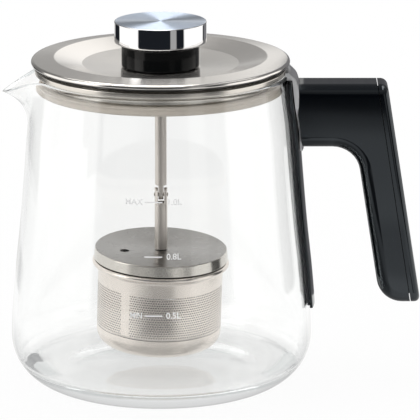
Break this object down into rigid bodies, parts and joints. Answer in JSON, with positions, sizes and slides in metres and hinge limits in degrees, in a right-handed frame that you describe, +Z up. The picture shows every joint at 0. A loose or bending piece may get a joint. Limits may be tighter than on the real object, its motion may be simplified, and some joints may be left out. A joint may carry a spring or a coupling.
{
  "type": "glass tea maker jug with infuser",
  "caption": "Conical glass jug with spout and black handle; a steel lid whose chrome knob lifts a hinged perforated tea basket.",
  "frame": {"origin": "centre of the glass bottom, on the plane the jug stands on", "axes": "+Z up the jug's axis, +X towards the handle, -X towards the spout"},
  "size_m": [0.1784, 0.129, 0.1577],
  "materials": {
    "clear_glass": "clear blown glass",
    "black_plastic": "black, satin moulded",
    "pale_silicone": "translucent pale silicone",
    "dark_silicone": "dark soft silicone",
    "satin_steel": "satin stainless steel",
    "polished_steel": "polished stainless steel",
    "chrome": "mirror chrome with a spun top",
    "brass": "turned brass"
  },
  "bodies": {
    "jug": {"glass_jug": "clear_glass", "leg_pad": "dark_silicone", "handle_leg": "black_plastic", "handle_bracket": "polished_steel", "handle_shell": "black_plastic", "handle_cover": "black_plastic", "handle_core": "satin_steel", "bracket_screw_lower": "polished_steel", "bracket_screw_upper": "polished_steel"},
    "lid": {"lid_plate": "satin_steel", "lid_plug": "polished_steel", "lid_gasket": "pale_silicone", "rod_bush": "dark_silicone", "bush_nut": "satin_steel"},
    "lifter": {"knob_neck": "black_plastic", "knob_pad": "dark_silicone", "knob_cap": "chrome", "knob_insert": "brass", "knob_screw": "polished_steel", "lift_rod": "satin_steel"},
    "hanger": {"hanger_fork": "satin_steel", "hinge_pin": "polished_steel", "basket_lid": "satin_steel", "lid_ring": "satin_steel", "hanger_nut": "polished_steel"},
    "basket": {"basket_wall": "satin_steel", "basket_pan": "satin_steel"}
  },
  "joints": [
    {"name": "lid_lift", "type": "slide", "parent": "jug", "child": "lid", "axis": [0, 0, 1], "range_m": [0, 0.13]},
    {"name": "basket_lift", "type": "slide", "parent": "lid", "child": "lifter", "axis": [0, 0, 1], "range_m": [0, 0.035]},
    {"name": "rod_hinge", "type": "hinge", "parent": "lifter", "child": "hanger", "pos_m": [0, 0, 0.082], "axis": [1, 0, 0], "range_deg": [-25, 25]},
    {"name": "basket_release", "type": "slide", "parent": "hanger", "child": "basket", "axis": [-0.0314, 0.0523, -0.9981], "range_m": [0, 0.0045]}
  ]
}
